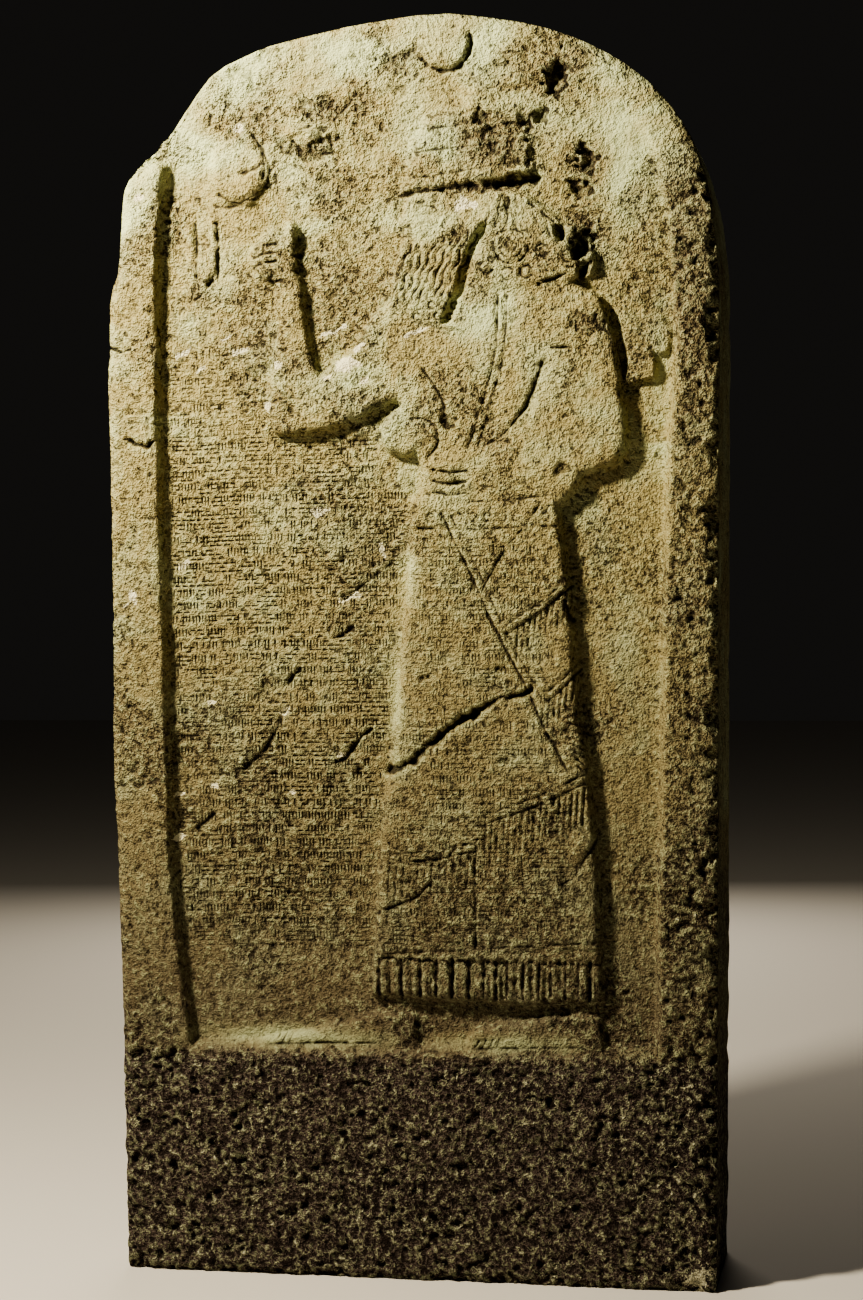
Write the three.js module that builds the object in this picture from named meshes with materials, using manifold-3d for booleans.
// A round-topped limestone stele: a robed ruler in low relief stands in a sunk field, under five worn
// emblems, with rows of a worn inscription across the field and the robe. It is one block of stone.
// Millimetres, +Z up. The origin is at the middle of the underside, and the carved face looks along -Y.
import * as THREE from "three";
import { mergeVertices } from "three/addons/utils/BufferGeometryUtils.js";
import Module from "manifold-3d";

const wasm = await Module();
wasm.setup();

// ---- Driving dimensions ----
const HEIGHT = 1930;
const HALF_WIDTH = 475; // at the widest, level with the figure's chest
const FOOT_HALF_WIDTH = 461;
const THICKNESS = 250;
const FACE = THICKNESS / 2; // levels count forwards from the middle of the block, and this is its face
const WORN_EDGE = 11; // the arrises of the block, rubbed off
const SUNK = 28; // depth of the sunk field
const FLOOR = FACE - SUNK;
const FIELD_TURN = THREE.MathUtils.degToRad(0.4); // the field is cut a little deeper behind the figure
const WALL_RUN = 10; // how far the field's walls slope in on their way down
const LEDGE_FRONT = 345; // the field's lower edge, which the feet stand on
const LEDGE_BACK = 366; // the ledge slopes up to the floor
const WORN_FROM = 1470; // above this, along the slope, the floor runs out towards the face
const WORN_TO = 1860;
const WORN_LEVEL = FACE - 3; // the floor's level where it meets the arch
const WORN_TURN = THREE.MathUtils.degToRad(14); // the wear reaches further down on the right
const HEM = 431; // lower edge of the robe
const FRINGE_TOP = 497; // upper edge of the hem's tassels
const BELT_LOW = 1150;
const BELT_HIGH = 1197;
const SOLE = LEDGE_FRONT + 4;

// How far forward the top of each raised part stands.
const LEVEL = {
  robe: FACE - 5,
  wrap: FACE - 2.5,
  torso: FACE - 5,
  belt: FACE - 3,
  frontArm: FACE - 6,
  backArm: FACE - 2.5,
  fist: FACE - 2,
  mace: FACE - 4,
  face: FACE - 7,
  beard: FACE - 2,
  hair: FACE - 1,
  hat: FACE - 2,
  ribbon: FLOOR + 9,
  foot: FACE - 13,
  emblem: FACE - 14,
  topEmblem: FACE,
};

// ---- Shaping helpers ----

// A closed outline in the plane of the carving, as [across, up] points. Each stretch runs smoothly
// through its points, a stretch of two points is straight, and stretches meet at corners.
function outline(...stretches) {
  const shape = new THREE.Shape();
  shape.moveTo(...stretches[0][0]);
  for (const stretch of stretches) {
    const rest = stretch.slice(1).map(([x, z]) => new THREE.Vector2(x, z));
    if (rest.length === 1) shape.lineTo(rest[0].x, rest[0].y);
    else shape.splineThru(rest);
  }
  return shape;
}

// A closed outline with straight sides.
const polygon = (...points) => new THREE.Shape(points.map(([x, z]) => new THREE.Vector2(x, z)));

// A closed outline that is smooth all the way round.
function smooth(...points) {
  const curve = new THREE.CatmullRomCurve3(
    points.map(([x, z]) => new THREE.Vector3(x, z, 0)),
    true,
  );
  return new THREE.Shape(curve.getPoints(points.length * 2).map((p) => new THREE.Vector2(p.x, p.y)));
}

function ellipse(x, z, halfWidth, halfHeight, turn = 0, sides = 18) {
  const curve = new THREE.EllipseCurve(x, z, halfWidth, halfHeight, 0, 2 * Math.PI, false, turn);
  return new THREE.Shape(curve.getPoints(sides).slice(0, -1));
}

// Turns a geometry drawn in the plane of the carving, with its depth forwards, into a solid of the stone.
function solid(drawn) {
  const geometry = drawn.clone().rotateX(Math.PI / 2);
  geometry.deleteAttribute("normal");
  geometry.deleteAttribute("uv");
  const merged = mergeVertices(geometry, 1e-3);
  return new wasm.Manifold(
    new wasm.Mesh({
      numProp: 3,
      vertProperties: merged.attributes.position.array,
      triVerts: new Uint32Array(merged.index.array),
    }),
  );
}

// Stone left standing up to a level, rooted in the block. Its shoulders are rounded off over `round`
// across and `drop` down; its outline is where it meets the floor.
function raised(shape, level, { round = 8, drop = 14, steps = 2, curves = 2, root = 60 } = {}) {
  const geometry = new THREE.ExtrudeGeometry(shape, {
    depth: level - root - 2 * drop,
    bevelThickness: drop,
    bevelSize: round,
    bevelOffset: -round,
    bevelSegments: steps,
    curveSegments: curves,
  });
  return solid(geometry.translate(0, 0, root + drop));
}

// A straight chisel cut from one point to the next along a line of [across, up] points, V-shaped.
function incised(points, level, width, depth) {
  const cuts = [];
  for (let i = 1; i < points.length; i++) {
    const [x0, z0] = points[i - 1];
    const [x1, z1] = points[i];
    const length = Math.hypot(x1 - x0, z1 - z0);
    const section = new THREE.Shape();
    section.moveTo(-width, 1);
    section.lineTo(0, -depth);
    section.lineTo(width, 1);
    const groove = new THREE.ExtrudeGeometry(section, { depth: length, bevelEnabled: false });
    groove.translate(0, 0, -length / 2).rotateX(Math.PI / 2).rotateZ(-Math.PI / 2);
    groove.rotateZ(Math.atan2(z1 - z0, x1 - x0)).translate((x0 + x1) / 2, (z0 + z1) / 2, level);
    cuts.push(solid(groove));
  }
  return cuts;
}

const joined = (parts) => wasm.Manifold.union(parts);

// ---- The block ----

function block() {
  const left = -HALF_WIDTH;
  const right = HALF_WIDTH;
  const shape = outline(
    [[-FOOT_HALF_WIDTH, 0], [FOOT_HALF_WIDTH, 0]],
    [
      [FOOT_HALF_WIDTH, 0], [465, 350], [469, 800], [472, 1200], [right, 1480], [470, 1590], [460, 1655],
      [444, 1708], [420, 1757], [385, 1802], [348, 1835], [300, 1866], [240, 1894], [170, 1914], [100, 1926],
      [72, HEIGHT],
    ],
    [[72, HEIGHT], [24, HEIGHT]],
    [[24, HEIGHT], [-70, 1920], [-150, 1907], [-215, 1893], [-270, 1873], [-306, 1852]],
    // The upper left shoulder is broken away in three steps.
    [[-306, 1852], [-330, 1824], [-352, 1796], [-378, 1760], [-403, 1720]],
    [[-403, 1720], [-436, 1700]],
    [
      [-436, 1700], [-447, 1672], [-452, 1620], [-456, 1560], [-470, 1515], [-472, 1440], [left, 1390],
      [-473, 1250], [-472, 1000], [-474, 800], [-468, 600], [-464, 350], [-FOOT_HALF_WIDTH, 0],
    ],
  );
  const geometry = new THREE.ExtrudeGeometry(shape, {
    depth: THICKNESS - 2 * WORN_EDGE,
    bevelThickness: WORN_EDGE,
    bevelSize: WORN_EDGE,
    bevelOffset: -WORN_EDGE,
    bevelSegments: 1,
    curveSegments: 2,
  });
  return solid(geometry.translate(0, 0, WORN_EDGE - FACE));
}

// The sunk field: its outline on the face, and the slope of its walls down to the floor. At the upper
// left the frame is lost, and the field runs out over the broken edge.
function field() {
  const shape = outline(
    [[-358, LEDGE_FRONT], [378, LEDGE_FRONT]],
    [
      [378, LEDGE_FRONT], [381, 560], [388, 850], [394, 1080], [401, 1260], [413, 1430], [410, 1540],
      [396, 1645], [374, 1725], [336, 1792], [276, 1848], [196, 1884], [90, 1906], [-40, 1912],
    ],
    [[-40, 1912], [-250, 1925]],
    [[-250, 1925], [-460, 1840]],
    [[-460, 1840], [-430, 1724]],
    [[-430, 1724], [-386, 1714]],
    [[-386, 1714], [-390, 1650], [-399, 1560], [-399, 1330], [-396, 1080], [-391, 800], [-384, 590],
      [-358, LEDGE_FRONT]],
  );
  const proud = 40; // the tool starts in front of the stone
  const geometry = new THREE.ExtrudeGeometry(shape, {
    depth: proud,
    bevelThickness: SUNK,
    bevelSize: WALL_RUN,
    bevelOffset: -WALL_RUN,
    bevelSegments: 1,
    curveSegments: 2,
  });
  return solid(geometry.translate(0, 0, FACE).rotateY(FIELD_TURN));
}

// A bar of stone that runs across the block, from its section as [up, forward] points.
function bar(section, x0, x1) {
  const shape = new THREE.Shape(section.map(([z, level]) => new THREE.Vector2(z, level)));
  const geometry = new THREE.ExtrudeGeometry(shape, { depth: x1 - x0, bevelEnabled: false });
  const across = new THREE.Vector3(1, 0, 0);
  const up = new THREE.Vector3(0, 1, 0);
  const forward = new THREE.Vector3(0, 0, 1);
  return geometry.applyMatrix4(new THREE.Matrix4().makeBasis(up, forward, across)).translate(x0, 0, 0);
}

// The stone under the worn arch, where the floor runs out towards the face.
function wornFloor() {
  const section = [[WORN_FROM, FLOOR - 4], [WORN_TO, WORN_LEVEL], [WORN_TO + 200, WORN_LEVEL],
    [WORN_TO + 200, 0], [WORN_FROM, 0]];
  return solid(bar(section, -900, 900).rotateZ(-WORN_TURN)).intersect(block());
}

// The sloping ledge along the foot of the field.
function ledge() {
  const section = [[LEDGE_FRONT - 6, FACE - 1], [LEDGE_FRONT, FACE - 2], [LEDGE_FRONT + 9, FACE - 13],
    [LEDGE_BACK, FLOOR - 2], [LEDGE_BACK, FLOOR - 20], [LEDGE_FRONT - 6, FLOOR - 20]];
  return solid(bar(section, -352, 374));
}

// The deep gap between the beard and the hair.
function beardGap() {
  const shape = outline(
    [[56, 1460], [64, 1496], [79, 1522], [86, 1552], [97, 1580], [120, 1612]],
    [[120, 1612], [131, 1608]],
    [[131, 1608], [109, 1573], [99, 1546], [97, 1521], [85, 1505], [73, 1482], [68, 1462]],
    [[68, 1462], [56, 1460]],
  );
  const bottom = FACE - 17;
  const geometry = new THREE.ExtrudeGeometry(shape, { depth: 60, bevelEnabled: false, curveSegments: 1 });
  return solid(geometry.translate(0, 0, bottom));
}

// Blows along the right arris of the face, and deeper pits where the stone has rotted.
function damage() {
  const cuts = [];
  const scoop = (x, z, level, width, height, depth, turn = 0) => {
    const ball = new THREE.IcosahedronGeometry(1, 1).scale(width, height, depth).rotateZ(turn);
    cuts.push(solid(ball.translate(x, z, level)));
  };
  let z = 60;
  for (let i = 0; z < 1560; i++) {
    const size = 17 + 11 * Math.sin(i * 2.4) ** 2;
    const side = FOOT_HALF_WIDTH + (HALF_WIDTH - FOOT_HALF_WIDTH) * Math.min(1, z / 1200);
    scoop(side + 3, z, FACE + 2, size, size * (1.3 + 0.7 * Math.sin(i * 1.7)), size * 0.8, 0.2 * Math.sin(i));
    z += 74 + 34 * Math.sin(i * 3.1);
  }
  // The pits: beside the cap, behind the hair, and at the crown of the arch.
  for (const [x, y, width, height] of [[234, 1826, 12, 26], [279, 1702, 12, 19], [264, 1658, 14, 11],
    [268, 1570, 13, 22], [272, 1540, 8, 13], [238, 1592, 7, 16], [205, 1768, 9, 14]]) {
    scoop(x, y, FACE - 7, width, height, 16, -0.3);
  }
  return joined(cuts);
}

// ---- The figure ----

function robe() {
  const skirt = outline(
    [[232, 1205], [240, 1120], [252, 1020], [257, 920], [270, 810], [283, 690], [290, 560], [294, HEM]],
    [[294, HEM], [180, HEM - 6], [60, HEM - 3], [-68, HEM + 5]],
    [[-68, HEM + 5], [-58, 560], [-48, 700], [-32, 800], [-20, 920], [-10, 1030], [0, 1130], [6, 1205]],
  );
  // The fringed wrap lies over the skirt in three slanting tiers, each a little proud of the one below.
  const wrapTop = outline(
    [[60, 1156], [228, 1158]],
    [[228, 1158], [238, 1110], [243, 1060]],
    [[243, 1060], [215, 1030], [180, 1006], [143, 992]],
    [[143, 992], [60, 1156]],
  );
  const wrapMiddle = outline(
    [[146, 986], [180, 999], [215, 1022], [244, 1050]],
    [[244, 1050], [250, 930], [262, 815]],
    [[262, 815], [238, 795], [190, 888], [146, 986]],
  );
  const wrapLow = outline(
    [[112, 742], [112, 703], [160, 720], [205, 748], [262, 788]],
    [[262, 788], [274, 740], [280, 676]],
    [[280, 676], [250, 640], [212, 610], [100, 655], [60, 612], [10, 566]],
    [[10, 566], [-30, 640], [-20, 760], [40, 830], [112, 742]],
  );
  const fold = outline(
    [[200, 1156], [170, 1122], [140, 1090], [112, 1044]],
    [[112, 1044], [124, 1040]],
    [[124, 1040], [150, 1080], [182, 1114], [214, 1154]],
    [[214, 1154], [200, 1156]],
  );
  const belt = polygon([4, BELT_LOW], [231, BELT_LOW + 6], [229, BELT_HIGH + 3], [4, BELT_HIGH]);
  return [
    raised(skirt, LEVEL.robe, { round: 13, drop: 18, steps: 3 }),
    raised(fold, LEVEL.wrap + 2, { round: 3, drop: 3, steps: 1 }),
    raised(wrapTop, LEVEL.wrap, { round: 3, drop: 3, steps: 1 }),
    raised(wrapMiddle, LEVEL.wrap - 1, { round: 3, drop: 3, steps: 1 }),
    raised(wrapLow, LEVEL.wrap - 1, { round: 3, drop: 3, steps: 1 }),
    raised(belt, LEVEL.belt, { round: 4, drop: 5, steps: 1 }),
  ];
}

function torso() {
  const chest = smooth(
    [24, 1180], [16, 1240], [4, 1290], [-12, 1336], [-34, 1390], [-32, 1450], [-12, 1506], [40, 1548],
    [140, 1556], [230, 1532], [288, 1500], [312, 1440], [318, 1370], [290, 1280], [236, 1180], [120, 1176],
  );
  return raised(chest, LEVEL.torso, { round: 16, drop: 16, steps: 3 });
}

// The arm held up in front, the hand closed but for one finger.
function frontArm() {
  const arm = smooth(
    [-207, 1299], [-150, 1300], [-98, 1312], [-44, 1338], [20, 1360], [40, 1430], [-10, 1502], [-44, 1490],
    [-68, 1456], [-100, 1414], [-137, 1394], [-148, 1430], [-160, 1490], [-170, 1550], [-196, 1560],
    [-210, 1530], [-203, 1480], [-212, 1420], [-219, 1350], [-218, 1316],
  );
  const hand = smooth(
    [-172, 1545], [-170, 1580], [-184, 1606], [-214, 1610], [-240, 1594], [-246, 1568], [-230, 1544],
    [-206, 1530], [-186, 1532],
  );
  const finger = polygon([-194, 1580], [-172, 1580], [-172, 1612], [-179, 1630], [-187, 1624], [-193, 1606]);
  const cuff = polygon([-232, 1551], [-204, 1529], [-200, 1538], [-226, 1559]);
  return [
    raised(arm, LEVEL.frontArm, { round: 11, drop: 17, steps: 3 }),
    raised(hand, LEVEL.frontArm + 1, { round: 10, drop: 15, steps: 2 }),
    raised(finger, LEVEL.frontArm + 1, { round: 4, drop: 8, steps: 1 }),
    raised(cuff, LEVEL.frontArm + 3, { round: 2, drop: 4, steps: 1 }),
  ];
}

// The arm at the back, bent across the waist, with its fist round the shaft of the mace.
function backArm() {
  const arm = smooth(
    [286, 1506], [304, 1480], [318, 1430], [328, 1370], [335, 1300], [332, 1262], [312, 1242], [250, 1228],
    [180, 1212], [108, 1206], [96, 1232], [104, 1266], [150, 1288], [178, 1312], [198, 1352], [212, 1402],
    [224, 1452], [250, 1492],
  );
  const fist = smooth(
    [108, 1208], [76, 1190], [40, 1194], [22, 1220], [28, 1252], [60, 1272], [106, 1266],
  );
  const shaft = polygon([-2, 1284], [92, 1222], [100, 1234], [8, 1298]);
  return [
    raised(arm, LEVEL.backArm, { round: 13, drop: 15, steps: 3 }),
    raised(fist, LEVEL.fist, { round: 9, drop: 10, steps: 2 }),
    raised(shaft, LEVEL.mace - 4, { round: 5, drop: 5, steps: 1 }),
    raised(ellipse(-8, 1299, 35, 38), LEVEL.mace, { round: 14, drop: 14, steps: 3 }),
  ];
}

// A plain calm profile under a tall cap, with a long squared beard and the hair bunched behind.
function head() {
  const profile = outline(
    [[8, 1676], [4, 1650], [-2, 1636]],
    [[-2, 1636], [-14, 1618]],
    [[-14, 1618], [-4, 1610]],
    [[-4, 1610], [-7, 1594], [-6, 1576]],
    [[-6, 1576], [60, 1570], [128, 1606], [140, 1676]],
    [[140, 1676], [8, 1676]],
  );
  const beard = outline(
    [[-31, 1462], [66, 1461]],
    [[66, 1461], [80, 1506], [97, 1544], [109, 1582], [122, 1604]],
    [[122, 1604], [112, 1610]],
    [[112, 1610], [84, 1598], [56, 1582], [24, 1590], [-6, 1592]],
    [[-6, 1592], [-14, 1566], [-20, 1520], [-31, 1462]],
  );
  const hair = smooth(
    [138, 1656], [114, 1606], [100, 1560], [92, 1526], [128, 1508], [190, 1512], [246, 1520], [288, 1532],
    [286, 1568], [268, 1598], [236, 1616], [204, 1640], [176, 1660],
  );
  const cap = outline(
    [[0, 1667], [8, 1716], [24, 1754], [44, 1782]],
    [[44, 1782], [92, 1794]],
    [[92, 1794], [100, 1813], [116, 1820], [130, 1813], [138, 1796]],
    [[138, 1796], [176, 1788]],
    [[176, 1788], [190, 1744], [197, 1688]],
    [[197, 1688], [100, 1680], [0, 1667]],
  );
  const band = polygon([-6, 1661], [199, 1681], [198, 1700], [-4, 1679]);
  return [
    raised(profile, LEVEL.face, { round: 3, drop: 8, steps: 2 }),
    raised(beard, LEVEL.beard, { round: 4, drop: 10, steps: 2 }),
    raised(hair, LEVEL.hair, { round: 13, drop: 14, steps: 3 }),
    raised(cap, LEVEL.hat - 2, { round: 9, drop: 12, steps: 2 }),
    raised(band, LEVEL.hat, { round: 4, drop: 5, steps: 1 }),
  ];
}

// The two ribbons that hang from the cap behind the shoulder, each with a fringed end.
function ribbons() {
  const inner = outline(
    [[262, 1530], [298, 1500], [322, 1462], [336, 1398]],
    [[336, 1398], [378, 1402]],
    [[378, 1402], [366, 1432], [350, 1464], [318, 1513], [284, 1548], [262, 1530]],
  );
  const outer = outline(
    [[286, 1552], [318, 1513], [350, 1464], [366, 1430]],
    [[366, 1430], [403, 1438]],
    [[403, 1438], [386, 1472], [360, 1504], [330, 1533], [300, 1558], [286, 1552]],
  );
  const innerEnd = polygon([334, 1399], [330, 1364], [381, 1374], [380, 1403]);
  const outerEnd = polygon([365, 1431], [382, 1406], [402, 1412], [403, 1439]);
  return [
    raised(inner, LEVEL.ribbon, { round: 3, drop: 4, steps: 1 }),
    raised(outer, LEVEL.ribbon - 3, { round: 3, drop: 4, steps: 1 }),
    raised(innerEnd, LEVEL.ribbon + 3, { round: 3, drop: 4, steps: 1 }),
    raised(outerEnd, LEVEL.ribbon, { round: 3, drop: 4, steps: 1 }),
  ];
}

// Both feet point the way the figure faces, flat on the ledge. The ankles go up under the hem.
function feet() {
  const bottom = SOLE - 14;
  const front = outline(
    [[-248, bottom], [-244, 362], [-200, 373], [-150, 384], [-104, 397], [-60, 408], [-20, 410], [2, 404]],
    [[2, 404], [7, bottom]],
    [[7, bottom], [-248, bottom]],
  );
  const back = outline(
    [[84, bottom], [82, 372], [104, 389], [150, 397], [200, 405], [250, 412], [290, 409]],
    [[290, 409], [296, bottom]],
    [[296, bottom], [84, bottom]],
  );
  const ankle = (x0, x1) => polygon([x0, 390], [x1, 390], [x1, 450], [x0, 450]);
  return [
    raised(front, LEVEL.foot, { round: 8, drop: 12, steps: 2 }),
    raised(back, LEVEL.foot, { round: 8, drop: 12, steps: 2 }),
    raised(ankle(-46, 0), FLOOR + 6, { round: 4, drop: 5, steps: 1 }),
    raised(ankle(240, 290), FLOOR + 6, { round: 4, drop: 5, steps: 1 }),
  ];
}

// ---- The emblems in front of the face and over it ----

function emblems() {
  const low = { round: 3, drop: 4, steps: 1 };
  // A crescent in a disc.
  const disc = raised(ellipse(-263, 1706, 48, 52, 0, 22), LEVEL.emblem - 1, low);
  const crescent = outline(
    [[-302, 1734], [-304, 1690], [-264, 1662], [-226, 1690], [-224, 1736]],
    [[-224, 1736], [-243, 1704], [-264, 1692], [-285, 1704], [-302, 1734]],
  );
  // An eight-rayed star.
  const star = { x: -134, z: 1772, inner: 21, outer: 60, squash: 0.86 };
  const points = [];
  for (let i = 0; i < 16; i++) {
    const radius = i % 2 ? star.inner : star.outer;
    const angle = (i * Math.PI) / 8 + 0.3;
    points.push([star.x + radius * Math.cos(angle), star.z + star.squash * radius * Math.sin(angle)]);
  }
  // A forked bolt: two prongs, a bar across them, and a pointed foot.
  const prongs = [[-343, 1632], [-304, 1638]].map(([x, top]) =>
    raised(polygon([x - 7, top], [x - 6, 1562], [x + 5, 1562], [x + 6, top]), LEVEL.emblem - 5, low));
  const bolt = polygon([-346, 1596], [-346, 1562], [-322, 1530], [-301, 1562], [-302, 1600]);
  return [
    disc,
    raised(crescent, LEVEL.emblem + 3, { round: 2, drop: 4, steps: 1 }),
    raised(polygon(...points), LEVEL.emblem + 5, { round: 2, drop: 4, steps: 1 }),
    ...prongs,
    raised(bolt, LEVEL.emblem - 7, low),
    // The disc at the crown of the arch.
    raised(ellipse(64, 1880, 43, 36, 0.2, 20), LEVEL.topEmblem, { round: 8, drop: 10, steps: 2 }),
  ];
}

// ---- Incised work ----

function incisedWork() {
  const cuts = [];
  const cut = (points, level, width, depth) => cuts.push(...incised(points, level, width, depth));
  // Tassels along the hem, broad at the front and finer towards the back, under a bordered band.
  let x = -36;
  while (x < 280) {
    cut([[x, HEM - 12], [x, FRINGE_TOP]], LEVEL.robe, 4.5, 8);
    x += x < 90 ? 33 : 22;
  }
  cut([[-60, FRINGE_TOP - 2], [90, FRINGE_TOP + 6], [292, FRINGE_TOP + 16]], LEVEL.robe, 3, 5);
  cut([[98, FRINGE_TOP + 10], [99, 648]], LEVEL.robe, 3, 4);
  // Strands of the wrap's fringe, hanging from its slanting borders.
  for (const [x0, z0, x1, z1, count] of [[168, 984, 244, 1024, 5], [132, 700, 268, 762, 8]]) {
    for (let i = 0; i < count; i++) {
      const t = i / (count - 1);
      const [top, z] = [x0 + (x1 - x0) * t, z0 + (z1 - z0) * t];
      cut([[top, z], [top - 2, z - 62]], LEVEL.wrap - 1, 2.5, 4);
    }
  }
  // The border of the wrap down the chest.
  const border = [[150, 1496], [148, 1450], [141, 1400], [126, 1350], [100, 1276]];
  for (const aside of [0, 12]) {
    cut(border.map(([across, z]) => [across + aside, z]), LEVEL.torso, 3, 4);
  }
  // Long locks of the beard.
  for (const aside of [17, 34, 51, 68, 85]) {
    cut([[108 - aside, 1596 - aside / 6], [84 - aside, 1536], [62 - aside, 1466]], LEVEL.beard, 2.5, 3.5);
  }
  // The round curl the hair ends in, and the strands that run down to it.
  const curl = [];
  for (let i = 0; i <= 9; i++) {
    const angle = 0.7 + (i * 5.6) / 9;
    curl.push([163 + 24 * Math.cos(angle), 1574 + 24 * Math.sin(angle)]);
  }
  cut(curl, LEVEL.hair, 2.5, 3.5);
  for (const aside of [0, 22, 44]) {
    cut([[152 + aside, 1648 - aside / 4], [178 + aside, 1612 - aside / 2]], LEVEL.hair, 2.5, 3.5);
  }
  // Strands of the inner ribbon's end.
  for (const strand of [344, 356, 368]) {
    cut([[strand, 1362], [strand + 1, 1398]], LEVEL.ribbon + 3, 2, 3);
  }
  // The crack across the robe.
  cut([[-34, 786], [0, 795], [36, 828], [74, 860], [112, 882]], LEVEL.robe, 4, 7);
  cut([[148, 892], [192, 905]], LEVEL.robe, 5, 8);
  return joined(cuts);
}

// ---- The whole ----

function carve() {
  const ground = joined([block().subtract(field()), wornFloor(), ledge()]);
  const figure = [...robe(), torso(), ...frontArm(), ...backArm(), ...head(), ...ribbons(), ...feet()];
  const whole = joined([ground, ...figure, ...emblems()]);
  return whole.subtract(incisedWork()).subtract(beardGap()).subtract(damage());
}

function geometryOf(made) {
  const mesh = made.getMesh();
  const positions = new Float32Array(mesh.numVert * 3);
  for (let i = 0; i < mesh.numVert; i++) {
    positions.set(mesh.vertProperties.subarray(i * mesh.numProp, i * mesh.numProp + 3), i * 3);
  }
  const geometry = new THREE.BufferGeometry();
  geometry.setAttribute("position", new THREE.BufferAttribute(positions, 3));
  geometry.setIndex(new THREE.BufferAttribute(mesh.triVerts, 1));
  geometry.computeVertexNormals();
  return geometry;
}

const limestone = new THREE.MeshStandardMaterial({ color: 0xb5a478, roughness: 0.95, metalness: 0 });

const stele = new THREE.Mesh(geometryOf(carve()), limestone);
stele.name = "stele";

const model = new THREE.Group();
model.add(stele);
export default model;
